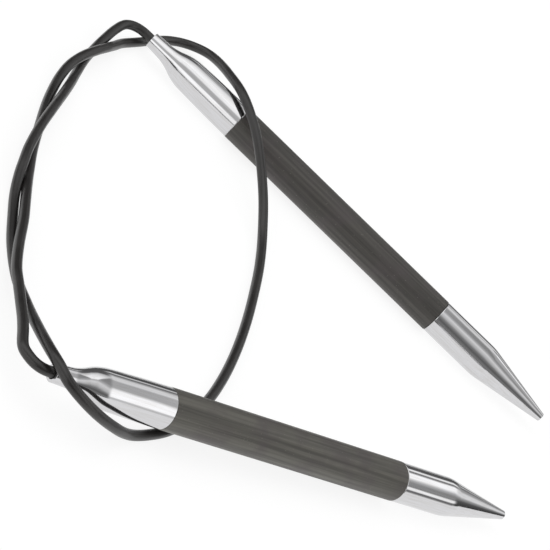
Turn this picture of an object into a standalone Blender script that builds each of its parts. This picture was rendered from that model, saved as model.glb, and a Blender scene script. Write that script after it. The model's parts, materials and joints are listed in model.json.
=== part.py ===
# A fixed circular knitting needle: two stiff needles joined by one long supple cord.
# Each needle is a carbon fibre tube between a turned brass point and a turned brass ferrule.
# The cord enters the ferrule's neck, and a crimped bead behind a shoulder holds it there.
# The object lies on a floor at z = 0. Metres, +Z up; the values below are millimetres.

import math

import bmesh
import bpy
from mathutils import Matrix, Vector
from mathutils.geometry import interpolate_bezier

MM = 0.001

# driving dimensions
NEEDLE_DIAMETER = 10.0
CORD_DIAMETER = 2.6
FERRULE_LENGTH = 32.0
SHAFT_LENGTH = 75.0
POINT_BARREL_LENGTH = 18.0
POINT_CONE_LENGTH = 22.0
POINT_END_DIAMETER = 2.5

# gaps between pieces that touch or slide in the real object
GAP = 0.3
CORD_CLEARANCE = 0.2

# inside a needle
SHAFT_WALL = 1.1
SPIGOT_LENGTH = 12.0
EDGE_BREAK = 0.25
NECK_WALL = 0.7
NECK_LENGTH = 6.0
NECK_END_RADIUS = 2.5
FLARE_LENGTH = 6.5
FLARE_END_RADIUS = 4.6
CORD_BORE_LENGTH = 10.5
BEAD_RADIUS = 2.4
BEAD_LENGTH = 6.0
BEAD_PLAY = 0.35
RETAINER_LENGTH = 3.2

SIDES = 48
FLARE_STEPS = 7
BARREL_STEPS = 4

# distances along a needle from the ferrule's mouth
NEEDLE_RADIUS = NEEDLE_DIAMETER / 2
CORD_RADIUS = CORD_DIAMETER / 2
SHAFT_START = FERRULE_LENGTH
POINT_START = SHAFT_START + SHAFT_LENGTH
SHOULDER = POINT_START + POINT_BARREL_LENGTH
TIP = SHOULDER + POINT_CONE_LENGTH
SHAFT_BORE_RADIUS = NEEDLE_RADIUS - SHAFT_WALL
SPIGOT_RADIUS = SHAFT_BORE_RADIUS - GAP
CORD_BORE_RADIUS = CORD_RADIUS + CORD_CLEARANCE
NECK_RADIUS = CORD_BORE_RADIUS + NECK_WALL
BEAD_START = CORD_BORE_LENGTH + GAP
BEAD_END = BEAD_START + BEAD_LENGTH
BEAD_BORE_RADIUS = CORD_RADIUS + GAP
COUNTERBORE_RADIUS = BEAD_RADIUS + BEAD_PLAY
RETAINER_START = BEAD_END + GAP

# how the needles lie: the ferrule's mouth, the heading from mouth to point, and how far the mouth is raised
# The back needle lies flat. The front one has its shoulder on the floor and its ferrule end over the cord.
LAY = {
    "back": {"mouth": (-76.4, 67.4), "heading": 3.7, "raised": 0.0},
    "front": {"mouth": (-26.1, -79.1), "heading": 46.0, "raised": 4.8},
}

# Each needle can swing a little where the cord leaves it, so the cord is cut there with this gap.
FLEX_GAP = 0.8

# the cord's route from the back needle's mouth to the front needle's, in the lay's own coordinates
ROUTE = [
    (-79.9, 66.9, 5.0), (-82.3, 65.4, 4.9), (-83.8, 62.8, 4.7), (-84.2, 58.5, 4.0),
    (-84.0, 53.5, 2.9), (-83.5, 48.0, 1.8), (-82.4, 40.0, 1.5), (-80.6, 32.0, 1.5),
    (-79.0, 25.0, 2.3), (-77.3, 16.0, 3.6), (-75.5, 6.0, 4.6), (-73.5, -4.0, 4.7),
    (-71.0, -13.0, 3.9), (-69.1, -18.0, 3.4), (-67.0, -22.8, 2.5), (-64.2, -28.2, 1.7),
    (-61.0, -33.8, 1.5), (-55.0, -43.6, 1.5), (-48.0, -52.8, 2.2), (-41.5, -61.0, 4.8),
    (-35.6, -69.8, 8.8), (-30.2, -77.0, 12.2), (-26.2, -80.4, 13.5), (-21.6, -81.7, 12.9),
    (-14.4, -78.6, 10.2), (-8.7, -71.8, 6.2), (-5.0, -64.6, 2.7), (-2.0, -57.8, 1.5),
    (0.8, -50.0, 1.4), (2.0, -41.0, 1.4), (2.3, -30.5, 1.4), (1.2, -19.0, 1.4),
    (-1.0, -7.0, 1.5), (-4.1, 5.5, 1.5), (-8.1, 18.5, 1.5), (-12.7, 31.5, 1.5),
    (-18.3, 43.0, 2.2), (-25.8, 51.8, 5.6), (-35.2, 59.3, 9.9), (-42.6, 64.9, 11.8),
    (-49.0, 70.2, 11.9), (-55.5, 77.2, 9.4), (-61.2, 83.8, 6.2), (-65.6, 86.7, 3.9),
    (-70.2, 86.0, 2.1), (-73.7, 81.8, 1.5), (-76.2, 75.4, 1.5), (-78.6, 67.2, 1.5),
    (-80.6, 60.0, 1.7), (-81.0, 54.0, 2.7), (-81.3, 48.5, 3.9), (-82.0, 42.0, 4.6),
    (-82.8, 35.0, 4.3), (-82.9, 29.5, 3.2), (-82.0, 24.0, 2.1), (-80.4, 18.0, 1.6),
    (-78.2, 11.0, 1.5), (-74.8, 2.0, 1.5), (-70.6, -8.5, 1.5), (-66.2, -18.0, 1.8),
    (-63.8, -23.6, 2.6), (-61.1, -29.7, 3.5), (-57.4, -37.5, 4.3), (-53.4, -46.8, 4.9),
    (-49.4, -55.2, 5.8), (-45.9, -60.7, 6.7), (-42.5, -65.9, 7.5), (-39.6, -70.4, 8.2),
    (-37.3, -74.5, 8.8), (-35.4, -78.1, 9.2), (-34.1, -79.8, 9.4), (-32.2, -80.8, 9.6),
    (-30.1, -81.1, 9.7), (-28.1, -80.6, 9.8),
]
TUBE_POINTS = 120
STEPS_PER_SPAN = 12

FINISHES = {
    "carbon": {"colour": (0.085, 0.080, 0.072), "metallic": 0.0, "roughness": 0.35},
    "nickel": {"colour": (0.78, 0.78, 0.79), "metallic": 1.0, "roughness": 0.08},
    "brass": {"colour": (0.72, 0.52, 0.22), "metallic": 1.0, "roughness": 0.3},
    "nylon": {"colour": (0.022, 0.020, 0.019), "metallic": 0.0, "roughness": 0.32},
}


def clear_scene():
    for old in list(bpy.data.objects):
        bpy.data.objects.remove(old)


def make_finish(name):
    values = FINISHES[name]
    material = bpy.data.materials.new(name)
    material.use_nodes = True
    shader = material.node_tree.nodes["Principled BSDF"]
    shader.inputs["Base Color"].default_value = (*values["colour"], 1.0)
    shader.inputs["Metallic"].default_value = values["metallic"]
    shader.inputs["Roughness"].default_value = values["roughness"]
    return material


def turned(name, outline, parent, material, hollow=False):
    """A turned piece about its own X axis; the outline is (distance, radius) in millimetres, open at the axis unless hollow."""
    bm = bmesh.new()
    ring = [bm.verts.new((x * MM, r * MM, 0.0)) for x, r in outline]
    edges = [bm.edges.new(pair) for pair in zip(ring, ring[1:])]
    if hollow:
        edges.append(bm.edges.new((ring[-1], ring[0])))
    bmesh.ops.spin(
        bm, geom=ring + edges, cent=(0, 0, 0), axis=(1, 0, 0), angle=math.tau, steps=SIDES, use_merge=True
    )
    bmesh.ops.remove_doubles(bm, verts=bm.verts, dist=1e-6)
    bmesh.ops.recalc_face_normals(bm, faces=bm.faces)
    mesh = bpy.data.meshes.new(name)
    bm.to_mesh(mesh)
    bm.free()
    mesh.shade_smooth()
    mesh.set_sharp_from_angle(angle=math.radians(25))
    mesh.materials.append(material)
    piece = bpy.data.objects.new(name, mesh)
    bpy.context.collection.objects.link(piece)
    piece.parent = parent
    return piece


def ferrule_outline():
    """Neck, flare and barrel outside; spigot behind; the cord's bore and the bead's counterbore inside."""
    outside = [(0.0, NECK_RADIUS - EDGE_BREAK / 2), (EDGE_BREAK / 2, NECK_RADIUS)]
    for step in range(FLARE_STEPS + 1):
        t = step / FLARE_STEPS
        ease = t * t * (3 - 2 * t)
        ease = 0.5 * (ease + t)
        radius = NECK_END_RADIUS + (FLARE_END_RADIUS - NECK_END_RADIUS) * ease
        outside.append((NECK_LENGTH + FLARE_LENGTH * t, radius))
    barrel_start = NECK_LENGTH + FLARE_LENGTH
    barrel_end = FERRULE_LENGTH - EDGE_BREAK
    for step in range(1, BARREL_STEPS + 1):
        t = step / BARREL_STEPS
        radius = FLARE_END_RADIUS + (NEEDLE_RADIUS - FLARE_END_RADIUS) * math.sin(t * math.pi / 2)
        outside.append((barrel_start + (barrel_end - barrel_start) * t, radius))
    outside.append((FERRULE_LENGTH, NEEDLE_RADIUS - EDGE_BREAK))
    spigot_end = FERRULE_LENGTH + SPIGOT_LENGTH
    spigot = [(FERRULE_LENGTH, SPIGOT_RADIUS), (spigot_end, SPIGOT_RADIUS)]
    inside = [
        (spigot_end, COUNTERBORE_RADIUS),
        (CORD_BORE_LENGTH, COUNTERBORE_RADIUS),
        (CORD_BORE_LENGTH, CORD_BORE_RADIUS),
        (0.0, CORD_BORE_RADIUS),
    ]
    return outside + spigot + inside


def point_outline():
    end_radius = POINT_END_DIAMETER / 2
    face = POINT_START + GAP
    return [
        (POINT_START - SPIGOT_LENGTH, 0.0),
        (POINT_START - SPIGOT_LENGTH, SPIGOT_RADIUS),
        (face, SPIGOT_RADIUS),
        (face, NEEDLE_RADIUS - EDGE_BREAK),
        (face + EDGE_BREAK, NEEDLE_RADIUS),
        (SHOULDER - EDGE_BREAK, NEEDLE_RADIUS),
        (SHOULDER + EDGE_BREAK, NEEDLE_RADIUS - EDGE_BREAK / 4),
        (TIP - EDGE_BREAK, end_radius),
        (TIP, end_radius - EDGE_BREAK),
        (TIP, 0.0),
    ]


def shaft_outline():
    start = SHAFT_START + GAP
    return [
        (start, NEEDLE_RADIUS),
        (POINT_START, NEEDLE_RADIUS),
        (POINT_START, SHAFT_BORE_RADIUS),
        (start, SHAFT_BORE_RADIUS),
    ]


def bead_outline():
    return [
        (BEAD_START, BEAD_RADIUS),
        (BEAD_END, BEAD_RADIUS),
        (BEAD_END, BEAD_BORE_RADIUS),
        (BEAD_START, BEAD_BORE_RADIUS),
    ]


def retainer_outline():
    end = RETAINER_START + RETAINER_LENGTH
    return [(RETAINER_START, 0.0), (RETAINER_START, BEAD_RADIUS), (end, BEAD_RADIUS), (end, 0.0)]


def needle_frame(side):
    """An empty at the ferrule's mouth, whose X axis runs to the point: the axis that the needle turns about."""
    lay = LAY[side]
    slope = math.asin(lay["raised"] / SHOULDER)
    height = NEEDLE_RADIUS / math.cos(slope) + lay["raised"]
    x, y = lay["mouth"]
    empty = bpy.data.objects.new(side + "_axis", None)
    bpy.context.collection.objects.link(empty)
    turn = Matrix.Rotation(math.radians(lay["heading"]), 4, "Z") @ Matrix.Rotation(slope, 4, "Y")
    empty.matrix_world = Matrix.Translation(Vector((x, y, height)) * MM) @ turn
    return empty


def on_axis(frame, distance):
    """The point in millimetres on a needle's axis, this far from its mouth towards the point."""
    return (frame.matrix_world @ Vector((distance * MM, 0, 0))) / MM


def smooth_route(points):
    """Bezier spans through the points, each handle a third of its span along the direction of the neighbours."""
    last = len(points) - 1
    heading = [(points[min(i + 1, last)] - points[max(i - 1, 0)]).normalized() for i in range(last + 1)]
    curve = []
    for i in range(last):
        reach = (points[i + 1] - points[i]).length / 3
        first_handle = points[i] + heading[i] * reach
        second_handle = points[i + 1] - heading[i + 1] * reach
        span = interpolate_bezier(points[i], first_handle, second_handle, points[i + 1], STEPS_PER_SPAN + 1)
        curve.extend(span[:-1])
    curve.append(points[last])
    return curve


def evenly_spaced(curve, count):
    """This many points at equal steps along the curve."""
    lengths = [0.0]
    for a, b in zip(curve, curve[1:]):
        lengths.append(lengths[-1] + (b - a).length)
    spaced = []
    i = 0
    for k in range(count):
        target = lengths[-1] * k / (count - 1)
        while i < len(curve) - 2 and lengths[i + 1] < target:
            i += 1
        share = (target - lengths[i]) / (lengths[i + 1] - lengths[i])
        spaced.append(curve[i].lerp(curve[i + 1], min(share, 1.0)))
    return spaced


def cord_tube(name, points, material, resolution):
    data = bpy.data.curves.new(name, "CURVE")
    data.dimensions = "3D"
    data.bevel_depth = CORD_RADIUS * MM
    data.bevel_resolution = resolution
    data.use_fill_caps = True
    data.resolution_u = 1
    data.render_resolution_u = 0
    spline = data.splines.new("POLY")
    spline.points.add(len(points) - 1)
    for knot, point in zip(spline.points, points):
        knot.co = (*(point * MM), 1.0)
    data.materials.append(material)
    piece = bpy.data.objects.new(name, data)
    bpy.context.collection.objects.link(piece)
    return piece


def build_needle(side, finishes):
    frame = needle_frame(side)
    turned(side + "_point", point_outline(), frame, finishes["nickel"])
    turned(side + "_shaft", shaft_outline(), frame, finishes["carbon"], hollow=True)
    turned(side + "_ferrule", ferrule_outline(), frame, finishes["nickel"], hollow=True)
    turned(side + "_cord_bead", bead_outline(), frame, finishes["brass"], hollow=True)
    turned(side + "_bead_retainer", retainer_outline(), frame, finishes["brass"])
    bpy.context.view_layer.update()
    return frame


def build_cords(frames, nylon):
    """The free cord runs from mouth to mouth; a short stub goes on from each mouth into its bead."""
    for side, frame in frames.items():
        depths = (FLEX_GAP / 2, BEAD_END / 2, BEAD_END)
        cord_tube(side + "_cord_end", [on_axis(frame, depth) for depth in depths], nylon, 2)
    start = on_axis(frames["back"], -FLEX_GAP / 2)
    end = on_axis(frames["front"], -FLEX_GAP / 2)
    curve = smooth_route([start] + [Vector(point) for point in ROUTE] + [end])
    cord_tube("cord", evenly_spaced(curve, TUBE_POINTS), nylon, 2)


clear_scene()
FINISH = {name: make_finish(name) for name in FINISHES}
FRAMES = {side: build_needle(side, FINISH) for side in LAY}
build_cords(FRAMES, FINISH["nylon"])
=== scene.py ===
import json
import math

import bmesh
import bpy
from mathutils import Matrix, Vector
from mathutils.geometry import interpolate_bezier


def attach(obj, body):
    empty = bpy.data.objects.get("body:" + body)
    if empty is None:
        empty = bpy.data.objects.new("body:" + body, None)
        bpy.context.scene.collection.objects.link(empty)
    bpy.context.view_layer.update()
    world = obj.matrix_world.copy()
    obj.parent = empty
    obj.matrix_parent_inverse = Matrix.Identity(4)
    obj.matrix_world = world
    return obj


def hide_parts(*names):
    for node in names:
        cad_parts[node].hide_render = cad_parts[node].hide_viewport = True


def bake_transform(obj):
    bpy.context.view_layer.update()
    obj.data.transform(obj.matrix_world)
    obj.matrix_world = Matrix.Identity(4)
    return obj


mm = 0.001
needleSides = ("front", "back")

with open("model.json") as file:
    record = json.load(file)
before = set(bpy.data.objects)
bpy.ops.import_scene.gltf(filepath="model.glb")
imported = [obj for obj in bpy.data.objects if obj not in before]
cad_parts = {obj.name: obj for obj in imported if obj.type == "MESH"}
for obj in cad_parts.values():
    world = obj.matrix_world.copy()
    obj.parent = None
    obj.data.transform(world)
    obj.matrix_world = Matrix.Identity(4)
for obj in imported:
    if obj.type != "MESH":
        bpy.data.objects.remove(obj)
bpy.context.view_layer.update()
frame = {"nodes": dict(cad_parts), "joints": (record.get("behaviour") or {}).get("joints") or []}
joints = {joint["name"]: joint for joint in frame["joints"]}
bpy.context.scene.view_settings.view_transform = "Standard"
print("frame loaded")


def needlePlace(side):
    # a needle's own place: the ferrule's mouth at its origin and the point along its X axis
    swivel = joints[side + "_needle_swivel"]
    turn = Vector((1, 0, 0)).rotation_difference(Vector(swivel["axis"])).to_matrix().to_4x4()
    return Matrix.Translation(swivel["pos_m"]) @ turn


def linearColour(hexCode):
    parts = [int(hexCode[i : i + 2], 16) / 255 for i in (1, 3, 5)]
    linear = [c / 12.92 if c <= 0.04045 else ((c + 0.055) / 1.055) ** 2.4 for c in parts]
    return (*linear, 1.0)


def addNode(tree, kind, settings=None, links=None):
    # settings name a socket, a socket's number or a property of the node; links give a socket its source
    node = tree.nodes.new(kind)
    for name, value in (settings or {}).items():
        if name == "stops":
            ramp = node.color_ramp
            for end, (place, colour) in zip(ramp.elements, (value[0], value[-1])):
                end.position, end.color = place, colour
            for place, colour in value[1:-1]:
                ramp.elements.new(place).color = colour
        elif isinstance(name, int) or name in node.inputs:
            node.inputs[name].default_value = value
        else:
            setattr(node, name, value)
    for name, source in (links or {}).items():
        tree.links.new(source, node.inputs[name])
    return node


def newMaterial(name):
    material = bpy.data.materials.new(name)
    material.use_nodes = True
    return material, material.node_tree, material.node_tree.nodes["Principled BSDF"]


cameraView = {
    "lookAt": (-7.9, 35.65, 0.0),
    "distance": 619.46,
    "downward": 30.0,
    "roll": 45.93,
    "lens": 157.09,
    "sensor": 36.0,
}


def addCamera(values):
    data = bpy.data.cameras.new("camera")
    data.lens = values["lens"]
    data.sensor_width = values["sensor"]
    data.clip_start = 0.01
    camera = bpy.data.objects.new("camera", data)
    bpy.context.scene.collection.objects.link(camera)
    turn = Matrix.Rotation(math.radians(90 - values["downward"]), 4, "X")
    turn = turn @ Matrix.Rotation(math.radians(values["roll"]), 4, "Z")
    away = turn @ Vector((0, 0, values["distance"]))
    camera.matrix_world = Matrix.Translation((Vector(values["lookAt"]) + away) * mm) @ turn
    bpy.context.scene.camera = camera


addCamera(cameraView)
print("camera placed")


cordFinish = {
    "colour": "#1d1b1a",
    "wornColour": "#2a2827",
    "roughness": (0.27, 0.38),
    "ior": 1.53,
    "grain": 0.5,
    "cloudSize": 9.0,
    "ripple": 0.006,
}


def makeCordNylon(values):
    # extruded nylon, charcoal: soft sheen along the strand, slightly duller where it has been handled
    material, tree, shader = newMaterial("charcoal nylon, extruded")
    place = addNode(tree, "ShaderNodeTexCoord")
    cloud = addNode(
        tree,
        "ShaderNodeTexNoise",
        {"Scale": 1 / (values["cloudSize"] * mm), "Detail": 3.0},
        {"Vector": place.outputs["Object"]},
    )
    grain = addNode(
        tree,
        "ShaderNodeTexNoise",
        {"Scale": 1 / (values["grain"] * mm), "Detail": 2.0},
        {"Vector": place.outputs["Object"]},
    )
    tone = addNode(
        tree,
        "ShaderNodeValToRGB",
        {"stops": [(0.38, linearColour(values["colour"])), (0.68, linearColour(values["wornColour"]))]},
        {"Fac": cloud.outputs["Fac"]},
    )
    sheen = addNode(
        tree,
        "ShaderNodeMapRange",
        {
            "From Min": 0.3,
            "From Max": 0.7,
            "To Min": values["roughness"][0],
            "To Max": values["roughness"][1],
        },
        {"Value": cloud.outputs["Fac"]},
    )
    bump = addNode(
        tree,
        "ShaderNodeBump",
        {"Strength": 1.0, "Distance": values["ripple"] * mm},
        {"Height": grain.outputs["Fac"]},
    )
    tree.links.new(tone.outputs["Color"], shader.inputs["Base Color"])
    tree.links.new(sheen.outputs["Result"], shader.inputs["Roughness"])
    tree.links.new(bump.outputs["Normal"], shader.inputs["Normal"])
    shader.inputs["IOR"].default_value = values["ior"]
    return material


nickelFinish = {
    "colour": "#d3d3d5",
    "rubbedColour": "#cbcaca",
    "roughness": (0.06, 0.11),
    "waveLength": 6.0,
    "waveHeight": 0.0035,
    "buffLength": 9.0,
    "buffWidth": 0.5,
}


def makeNickelPlate(values):
    # polished nickel plate on turned brass: a mirror, faintly wavy, streaked lengthwise by the buffing wheel
    material, tree, shader = newMaterial("polished nickel plate")
    place = addNode(tree, "ShaderNodeAttribute", {"attribute_name": "alongNeedle"})
    buffScale = (1 / values["buffLength"], 1 / values["buffWidth"], 1 / values["buffWidth"])
    buffPlace = addNode(
        tree,
        "ShaderNodeVectorMath",
        {"operation": "MULTIPLY", 1: buffScale},
        {0: place.outputs["Vector"]},
    )
    buffing = addNode(
        tree,
        "ShaderNodeTexNoise",
        {"Scale": 1.0, "Detail": 3.0},
        {"Vector": buffPlace.outputs["Vector"]},
    )
    waves = addNode(
        tree,
        "ShaderNodeTexNoise",
        {"Scale": 1 / values["waveLength"], "Detail": 1.0},
        {"Vector": place.outputs["Vector"]},
    )
    tone = addNode(
        tree,
        "ShaderNodeValToRGB",
        {"stops": [(0.4, linearColour(values["colour"])), (0.7, linearColour(values["rubbedColour"]))]},
        {"Fac": buffing.outputs["Fac"]},
    )
    polish = addNode(
        tree,
        "ShaderNodeMapRange",
        {
            "From Min": 0.3,
            "From Max": 0.7,
            "To Min": values["roughness"][0],
            "To Max": values["roughness"][1],
        },
        {"Value": buffing.outputs["Fac"]},
    )
    bump = addNode(
        tree,
        "ShaderNodeBump",
        {"Strength": 1.0, "Distance": values["waveHeight"] * mm},
        {"Height": waves.outputs["Fac"]},
    )
    tree.links.new(tone.outputs["Color"], shader.inputs["Base Color"])
    tree.links.new(polish.outputs["Result"], shader.inputs["Roughness"])
    tree.links.new(bump.outputs["Normal"], shader.inputs["Normal"])
    shader.inputs["Metallic"].default_value = 1.0
    return material


carbonFinish = {
    "darkFibreBackShaded": {"front": "#4b4944", "back": "#3c3a37"},  # the back tube's colours are darker than the front's: painted shade standing in for the dimmer light on the back needle
    "lightFibreBackShaded": {"front": "#64625b", "back": "#504d49"},
    "warmTint": "#4d4648",
    "speck": "#8c8a82",
    "roughness": (0.40, 0.52),
    "streakWidth": 0.9,
    "streakLength": 38.0,
    "fibreWidth": 0.3,
    "fibreLength": 14.0,
    "blotch": 7.0,
    "speckSpacing": 1.1,
    "fibreHeight": 0.004,
    "specular": 0.4,
}


def makeCarbonTube(values, side):
    # pultruded carbon fibre in epoxy, sanded satin: warm dark grey with soft streaks along the fibres
    material, tree, shader = newMaterial("pultruded carbon fibre, satin, " + side)
    place = addNode(tree, "ShaderNodeAttribute", {"attribute_name": "alongNeedle"})
    streakScale = (1 / values["streakLength"], 1 / values["streakWidth"], 1 / values["streakWidth"])
    streakPlace = addNode(
        tree,
        "ShaderNodeVectorMath",
        {"operation": "MULTIPLY", 1: streakScale},
        {0: place.outputs["Vector"]},
    )
    streak = addNode(
        tree,
        "ShaderNodeTexNoise",
        {"Scale": 1.0, "Detail": 3.0, "Roughness": 0.55},
        {"Vector": streakPlace.outputs["Vector"]},
    )
    fibreScale = (1 / values["fibreLength"], 1 / values["fibreWidth"], 1 / values["fibreWidth"])
    fibrePlace = addNode(
        tree,
        "ShaderNodeVectorMath",
        {"operation": "MULTIPLY", 1: fibreScale},
        {0: place.outputs["Vector"]},
    )
    fibre = addNode(
        tree,
        "ShaderNodeTexNoise",
        {"Scale": 1.0, "Detail": 2.0},
        {"Vector": fibrePlace.outputs["Vector"]},
    )
    blotch = addNode(
        tree,
        "ShaderNodeTexNoise",
        {"Scale": 1 / values["blotch"], "Detail": 2.0},
        {"Vector": place.outputs["Vector"]},
    )
    speck = addNode(
        tree,
        "ShaderNodeTexVoronoi",
        {"Scale": 1 / values["speckSpacing"], "Randomness": 1.0},
        {"Vector": place.outputs["Vector"]},
    )
    # each side takes its own pair of colours; the back pair is darker, as painted shade
    tone = addNode(
        tree,
        "ShaderNodeValToRGB",
        {
            "stops": [
                (0.36, linearColour(values["darkFibreBackShaded"][side])),
                (0.66, linearColour(values["lightFibreBackShaded"][side])),
            ]
        },
        {"Fac": streak.outputs["Fac"]},
    )
    warmShare = addNode(
        tree,
        "ShaderNodeMapRange",
        {"From Min": 0.45, "From Max": 0.7, "To Min": 0.0, "To Max": 0.55},
        {"Value": blotch.outputs["Fac"]},
    )
    warmed = addNode(
        tree,
        "ShaderNodeMix",
        {"data_type": "RGBA", 7: linearColour(values["warmTint"])},
        {0: warmShare.outputs["Result"], 6: tone.outputs["Color"]},
    )
    speckShare = addNode(
        tree,
        "ShaderNodeMapRange",
        {"From Min": 0.05, "From Max": 0.13, "To Min": 0.35, "To Max": 0.0},
        {"Value": speck.outputs["Distance"]},
    )
    speckled = addNode(
        tree,
        "ShaderNodeMix",
        {"data_type": "RGBA", 7: linearColour(values["speck"])},
        {0: speckShare.outputs["Result"], 6: warmed.outputs[2]},
    )
    satin = addNode(
        tree,
        "ShaderNodeMapRange",
        {
            "From Min": 0.3,
            "From Max": 0.7,
            "To Min": values["roughness"][1],
            "To Max": values["roughness"][0],
        },
        {"Value": streak.outputs["Fac"]},
    )
    bump = addNode(
        tree,
        "ShaderNodeBump",
        {"Strength": 1.0, "Distance": values["fibreHeight"] * mm},
        {"Height": fibre.outputs["Fac"]},
    )
    tree.links.new(speckled.outputs[2], shader.inputs["Base Color"])
    tree.links.new(satin.outputs["Result"], shader.inputs["Roughness"])
    tree.links.new(bump.outputs["Normal"], shader.inputs["Normal"])
    shader.inputs["Specular IOR Level"].default_value = values["specular"]
    return material


brassFinish = {"colour": "#c79a4e", "dullColour": "#a07836", "roughness": (0.22, 0.4), "markSpacing": 0.25}


def makeBareBrass(values):
    # bare brass, turned and left as cut: yellow, finely mottled where it has dulled
    material, tree, shader = newMaterial("bare turned brass")
    place = addNode(tree, "ShaderNodeTexCoord")
    marks = addNode(
        tree,
        "ShaderNodeTexNoise",
        {"Scale": 1 / (values["markSpacing"] * mm), "Detail": 2.0},
        {"Vector": place.outputs["Object"]},
    )
    tone = addNode(
        tree,
        "ShaderNodeValToRGB",
        {"stops": [(0.35, linearColour(values["colour"])), (0.7, linearColour(values["dullColour"]))]},
        {"Fac": marks.outputs["Fac"]},
    )
    cut = addNode(
        tree,
        "ShaderNodeMapRange",
        {
            "From Min": 0.3,
            "From Max": 0.7,
            "To Min": values["roughness"][0],
            "To Max": values["roughness"][1],
        },
        {"Value": marks.outputs["Fac"]},
    )
    tree.links.new(tone.outputs["Color"], shader.inputs["Base Color"])
    tree.links.new(cut.outputs["Result"], shader.inputs["Roughness"])
    shader.inputs["Metallic"].default_value = 1.0
    return material


cordNylon = makeCordNylon(cordFinish)
nickelPlate = makeNickelPlate(nickelFinish)
carbonTubes = {side: makeCarbonTube(carbonFinish, side) for side in needleSides}
bareBrass = makeBareBrass(brassFinish)
print("finishes made")


cordValues = {
    "diameter": 2.6,
    "freeLength": 577.0,  # from mouth to mouth
    "insideNeedle": (8.4, 16.8),  # the knots inside each needle, as depths from its mouth
    "backLeadKnots": 5,  # knots of the route that belong to the lead at the back needle
    "frontLeadKnots": 8,
    "stepsBetweenKnots": 10,
    "sideSteps": 8,
    "sharpFrom": 40,  # degrees
}

# knots from the back needle's mouth to the front one's, in millimetres
cordRoute = [
    (-79.9, 66.9, 5.0), (-82.3, 65.4, 4.9), (-83.8, 62.8, 4.7), (-84.2, 58.5, 4.0),
    (-84.0, 53.5, 2.9), (-83.5, 48.0, 1.8), (-82.4, 40.0, 1.5), (-80.6, 32.0, 1.5),
    (-79.0, 25.0, 2.3), (-77.3, 16.0, 3.6), (-75.5, 6.0, 4.6), (-73.5, -4.0, 4.7),
    (-71.0, -13.0, 3.9), (-69.1, -18.0, 3.4), (-67.0, -22.8, 2.5), (-64.2, -28.2, 1.7),
    (-61.0, -33.8, 1.5), (-55.0, -43.6, 1.5), (-48.0, -52.8, 2.2), (-41.5, -61.0, 4.8),
    (-35.6, -69.8, 8.8), (-30.2, -77.0, 12.2), (-26.2, -80.4, 13.5), (-21.6, -81.7, 12.9),
    (-14.4, -78.6, 10.2), (-8.7, -71.8, 6.2), (-5.0, -64.6, 2.7), (-2.0, -57.8, 1.5),
    (0.8, -50.0, 1.4), (2.0, -41.0, 1.4), (2.3, -30.5, 1.4), (1.2, -19.0, 1.4),
    (-1.0, -7.0, 1.5), (-4.1, 5.5, 1.5), (-8.1, 18.5, 1.5), (-12.7, 31.5, 1.5),
    (-18.3, 43.0, 2.2), (-25.8, 51.8, 5.6), (-35.2, 59.3, 9.9), (-42.6, 64.9, 11.8),
    (-49.0, 70.2, 11.9), (-55.5, 77.2, 9.4), (-61.2, 83.8, 6.2), (-65.6, 86.7, 3.9),
    (-70.2, 86.0, 2.1), (-73.7, 81.8, 1.5), (-76.2, 75.4, 1.5), (-78.6, 67.2, 1.5),
    (-80.6, 60.0, 1.7), (-81.0, 54.0, 2.7), (-81.3, 48.5, 3.9), (-82.0, 42.0, 4.6),
    (-82.8, 35.0, 4.3), (-82.9, 29.5, 3.2), (-82.0, 24.0, 2.1), (-80.4, 18.0, 1.6),
    (-78.2, 11.0, 1.5), (-74.8, 2.0, 1.5), (-70.6, -8.5, 1.5), (-66.2, -18.0, 1.8),
    (-63.8, -23.6, 2.6), (-61.1, -29.7, 3.5), (-57.4, -37.5, 4.3), (-53.4, -46.8, 4.9),
    (-49.4, -55.2, 5.8), (-45.9, -60.7, 6.7), (-42.5, -65.9, 7.5), (-39.6, -70.4, 8.2),
    (-37.3, -74.5, 8.8), (-35.4, -78.1, 9.2), (-34.1, -79.8, 9.4), (-32.2, -80.8, 9.6),
    (-30.1, -81.1, 9.7), (-28.1, -80.6, 9.8),
]


def cordKnots(values):
    # every knot with its handles, in metres, and where the back lead ends and the front lead starts
    depths = (0, *values["insideNeedle"])
    inside = {
        side: [needlePlace(side) @ Vector((depth * mm, 0, 0)) for depth in depths]
        for side in needleSides
    }
    places = inside["back"][::-1] + [Vector(place) * mm for place in cordRoute] + inside["front"]
    last = len(places) - 1
    knots = []
    for i, place in enumerate(places):
        heading = (places[min(i + 1, last)] - places[max(i - 1, 0)]).normalized()
        before = (place - places[max(i - 1, 0)]).length / 3
        after = (places[min(i + 1, last)] - place).length / 3
        knots.append((place - heading * before, place, place + heading * after))
    insideCount = len(inside["back"])
    backCut = insideCount + values["backLeadKnots"] - 1
    frontCut = last - insideCount - values["frontLeadKnots"] + 1
    return knots, backCut, frontCut


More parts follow.
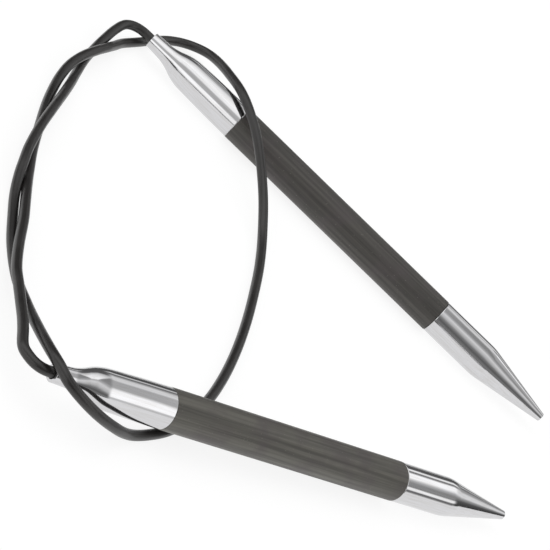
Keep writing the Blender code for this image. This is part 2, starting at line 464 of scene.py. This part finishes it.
def cordTube(name, knots, values):
    data = bpy.data.curves.new(name, "CURVE")
    data.dimensions = "3D"
    data.bevel_depth = values["diameter"] / 2 * mm
    data.bevel_resolution = values["sideSteps"]
    data.resolution_u = values["stepsBetweenKnots"]
    data.use_fill_caps = True
    spline = data.splines.new("BEZIER")
    spline.bezier_points.add(len(knots) - 1)
    for point, (before, place, after) in zip(spline.bezier_points, knots):
        point.handle_left_type = point.handle_right_type = "FREE"
        point.handle_left, point.co, point.handle_right = before, place, after
    sketch = bpy.data.objects.new(name + "_line", data)
    bpy.context.scene.collection.objects.link(sketch)
    bpy.context.view_layer.update()
    mesh = bpy.data.meshes.new_from_object(sketch.evaluated_get(bpy.context.evaluated_depsgraph_get()))
    bpy.data.objects.remove(sketch)
    mesh.name = name
    bm = bmesh.new()
    bm.from_mesh(mesh)
    bmesh.ops.remove_doubles(bm, verts=bm.verts, dist=1e-6)
    bmesh.ops.recalc_face_normals(bm, faces=bm.faces)
    bm.to_mesh(mesh)
    bm.free()
    mesh.shade_smooth()
    mesh.set_sharp_from_angle(angle=math.radians(values["sharpFrom"]))
    mesh.materials.clear()
    mesh.materials.append(cordNylon)
    tube = bpy.data.objects.new(name, mesh)
    bpy.context.scene.collection.objects.link(tube)
    return tube


def cordPath(knots, values):
    path = []
    for (_, start, out), (into, end, _) in zip(knots, knots[1:]):
        path.extend(interpolate_bezier(start, out, into, end, values["stepsBetweenKnots"] + 1)[:-1])
    return path + [knots[-1][1]]


def makeCord(values):
    knots, backCut, frontCut = cordKnots(values)
    loop = cordTube("cord_loop_strand", knots[backCut : frontCut + 1], values)
    leads = {
        "back": cordTube("cord_lead_back", knots[: backCut + 1], values),
        "front": cordTube("cord_lead_front", knots[frontCut:], values),
    }
    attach(loop, "cord_loop")
    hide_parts("cord")
    for side, cut in (("back", backCut), ("front", frontCut)):
        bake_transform(leads[side])
        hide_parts(side + "_cord_end")
    path = cordPath(knots[backCut : frontCut + 1], values)


makeCord(cordValues)
print("cord laid")


# outlines are (distance from the ferrule's mouth, radius, how far the edge there is rounded over)
ferruleValues = {
    "outline": [
        (0.0, 2.2, 0.12),
        (6.4, 2.52, 2.0),
        (11.7, 4.55, 2.2),
        (20.5, 4.88, 4.0),
        (32.0, 5.0, 0.12),
        (32.0, 3.6, 0.0),
        (44.0, 3.6, 0.0),
        (44.0, 2.75, 0.0),
        (10.5, 2.75, 0.0),
        (10.5, 1.5, 0.0),
        (0.0, 1.5, 0.0),
    ],
    "hollow": True,
}
shaftValues = {
    "outline": [(32.07, 5.0, 0.07), (106.95, 5.0, 0.07), (106.95, 3.9, 0.0), (32.07, 3.9, 0.0)],
    "hollow": True,
}
pointValues = {
    "outline": [
        (95.0, 0.0, 0.0),
        (95.0, 3.6, 0.0),
        (107.02, 3.6, 0.0),
        (107.02, 5.0, 0.2),
        (125.0, 5.0, 1.4),
        (147.0, 1.2, 0.25),
        (147.0, 0.0, 0.0),
    ],
    "hollow": False,
}
turnedValues = {
    "steps": 192,
    "roundingSteps": 8,
    "sharpFrom": 30,  # degrees
    "patternShift": {"front": 0.0, "back": 400.0},
}


def turnedPiece(name, shape, side, material):
    bm = bmesh.new()
    corners = [bm.verts.new((x * mm, r * mm, 0.0)) for x, r, _ in shape["outline"]]
    lines = [bm.edges.new(pair) for pair in zip(corners, corners[1:])]
    if shape["hollow"]:
        lines.append(bm.edges.new((corners[-1], corners[0])))
    bmesh.ops.spin(
        bm,
        geom=corners + lines,
        cent=(0, 0, 0),
        axis=(1, 0, 0),
        angle=math.tau,
        steps=turnedValues["steps"],
        use_merge=True,
    )
    bmesh.ops.remove_doubles(bm, verts=bm.verts, dist=1e-7)
    bmesh.ops.recalc_face_normals(bm, faces=bm.faces)
    for x, r, rounding in shape["outline"]:
        if not rounding:
            continue
        ring = [
            edge
            for edge in bm.edges
            if all(abs(v.co.x - x * mm) < 1e-6 and abs(v.co.yz.length - r * mm) < 1e-6 for v in edge.verts)
        ]
        bmesh.ops.bevel(
            bm,
            geom=ring,
            offset=rounding * mm,
            offset_type="OFFSET",
            segments=turnedValues["roundingSteps"],
            profile=0.5,
            affect="EDGES",
            material=-1,
            clamp_overlap=True,
        )
    mesh = bpy.data.meshes.new(name)
    bm.to_mesh(mesh)
    bm.free()
    mesh.shade_smooth()
    mesh.set_sharp_from_angle(angle=math.radians(turnedValues["sharpFrom"]))
    mesh.materials.append(material)
    shift = Vector((turnedValues["patternShift"][side], 0, 0))
    along = mesh.attributes.new("alongNeedle", "FLOAT_VECTOR", "POINT")
    for entry, vertex in zip(along.data, mesh.vertices):
        entry.vector = vertex.co / mm + shift
    mesh.transform(needlePlace(side))
    piece = bpy.data.objects.new(name, mesh)
    bpy.context.scene.collection.objects.link(piece)
    smoothing = piece.modifiers.new("even shading", "WEIGHTED_NORMAL")
    smoothing.keep_sharp = True
    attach(piece, side + "_needle")
    return piece


def makeNeedle(side):
    parts = (
        ("ferrule", ferruleValues, nickelPlate, "plated_metal"),
        ("shaft", shaftValues, carbonTubes[side], "carbon_fibre"),
        ("point", pointValues, nickelPlate, "plated_metal"),
    )
    for part, shape, material, slotName in parts:
        piece = turnedPiece(side + "_needle_" + part, shape, side, material)
        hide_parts(side + "_" + part)
    for inner in ("_cord_bead", "_bead_retainer"):
        node = frame["nodes"][side + inner]
        node.data.materials.clear()
        node.data.materials.append(bareBrass)


for side in needleSides:
    makeNeedle(side)
print("needles turned")


floorValues = {"size": 6.0, "colour": "#7c7c7c", "glow": 0.855, "roughness": 0.9, "below": 0.05}


def makeFloor(values):
    material, tree, shader = newMaterial("white paper sweep")
    shader.inputs["Base Color"].default_value = linearColour(values["colour"])
    shader.inputs["Roughness"].default_value = values["roughness"]
    shader.inputs["Specular IOR Level"].default_value = 0.0
    shader.inputs["Emission Color"].default_value = (1, 1, 1, 1)
    shader.inputs["Emission Strength"].default_value = values["glow"]
    mesh = bpy.data.meshes.new("floor")
    bm = bmesh.new()
    bmesh.ops.create_grid(bm, x_segments=1, y_segments=1, size=values["size"] / 2)
    bmesh.ops.translate(bm, verts=bm.verts, vec=(0, 0, -values["below"] * mm))
    bm.to_mesh(mesh)
    bm.free()
    mesh.materials.append(material)
    floor = bpy.data.objects.new("floor", mesh)
    bpy.context.scene.collection.objects.link(floor)


# how bright the studio is, as (degrees, level), from the near horizon up over the top to the far horizon;
# the Starts values say where one list gives way to the next, by how far a direction points along the needle
studioValues = {
    "strength": 1.0,
    "frontHeading": 46.0,
    "backPointStarts": (0.02, 0.12),
    "frontStarts": (0.35, 0.5),
    "barrelStarts": (0.64, 0.69),
    "coneStarts": (0.77, 0.85),
    "back": [
        (0, 0.7), (3, 0.75), (8, 1.5), (25, 1.45), (31, 0.6), (54, 0.62), (62, 1.25), (88, 1.45),
        (110, 1.15), (124, 0.7), (131, 0.14), (176, 0.1), (180, 0.6),
    ],
    "backPoint": [
        (0, 0.2), (12, 0.26), (28, 0.14), (44, 0.28), (58, 0.65), (76, 0.95), (84, 0.6), (95, 0.36),
        (115, 0.3), (125, 0.12), (150, 0.1), (168, 0.25), (180, 0.7),
    ],
    "front": [
        (0, 0.9), (5, 0.72), (10, 0.75), (16, 1.5), (50, 1.45), (60, 0.9), (66, 0.57), (100, 0.55),
        (108, 0.95), (124, 0.95), (132, 0.5), (142, 0.1), (150, 1.0), (156, 0.1), (176, 0.1),
        (180, 0.9),
    ],
    "frontBarrel": [
        (0, 0.9), (6, 0.2), (15, 0.18), (20, 1.3), (31, 1.25), (36, 0.33), (60, 0.36), (74, 0.65),
        (88, 1.4), (112, 1.45), (120, 0.4), (128, 0.15), (136, 1.3), (142, 1.2), (148, 0.12),
        (174, 0.12), (180, 0.9),
    ],
    "frontCone": [
        (0, 0.06), (14, 0.07), (38, 0.12), (52, 0.3), (64, 0.45), (80, 1.0), (112, 0.95), (124, 0.5),
        (140, 0.4), (152, 0.12), (162, 0.9), (168, 0.12), (180, 0.5),
    ],
}


def makeStudio(values):
    # a white tent with dark flags, in bands along each needle so that the metal shows them lengthwise
    world = bpy.data.worlds.new("studio")
    world.use_nodes = True
    bpy.context.scene.world = world
    tree = world.node_tree
    place = addNode(tree, "ShaderNodeTexCoord")
    parts = addNode(tree, "ShaderNodeSeparateXYZ", None, {"Vector": place.outputs["Generated"]})
    heading = math.radians(values["frontHeading"])
    across = {"back": (0, -1, 0), "front": (math.sin(heading), -math.cos(heading), 0)}
    bands = {}
    for name in ("back", "backPoint", "front", "frontBarrel", "frontCone"):
        side = "back" if name.startswith("back") else "front"
        level = addNode(
            tree,
            "ShaderNodeVectorMath",
            {"operation": "DOT_PRODUCT", 1: across[side]},
            {0: place.outputs["Generated"]},
        )
        turn = addNode(
            tree,
            "ShaderNodeMath",
            {"operation": "ARCTAN2"},
            {0: parts.outputs["Z"], 1: level.outputs["Value"]},
        )
        share = addNode(tree, "ShaderNodeMath", {"operation": "DIVIDE", 1: math.pi}, {0: turn.outputs[0]})
        stops = [(degrees / 180, (light, light, light, 1.0)) for degrees, light in values[name]]
        ramp = addNode(tree, "ShaderNodeValToRGB", {"stops": stops}, {"Fac": share.outputs[0]})
        bands[name] = ramp.outputs["Color"]
    along = addNode(
        tree,
        "ShaderNodeVectorMath",
        {"operation": "DOT_PRODUCT", 1: (math.cos(heading), math.sin(heading), 0)},
        {0: place.outputs["Generated"]},
    )
    mixes = (
        ("back", "backPoint", "backPointStarts", parts.outputs["X"], "backAll"),
        ("front", "frontBarrel", "barrelStarts", along.outputs["Value"], "frontMost"),
        ("frontMost", "frontCone", "coneStarts", along.outputs["Value"], "frontAll"),
        ("backAll", "frontAll", "frontStarts", along.outputs["Value"], "studio"),
    )
    for first, second, limits, position, result in mixes:
        share = addNode(
            tree,
            "ShaderNodeMapRange",
            {
                "interpolation_type": "SMOOTHSTEP",
                "From Min": values[limits][0],
                "From Max": values[limits][1],
            },
            {"Value": position},
        )
        mixed = addNode(
            tree,
            "ShaderNodeMix",
            {"data_type": "RGBA"},
            {0: share.outputs["Result"], 6: bands[first], 7: bands[second]},
        )
        bands[result] = mixed.outputs[2]
    background = tree.nodes["Background"]
    tree.links.new(bands["studio"], background.inputs["Color"])
    background.inputs["Strength"].default_value = values["strength"]


makeFloor(floorValues)
makeStudio(studioValues)
print("studio lit")
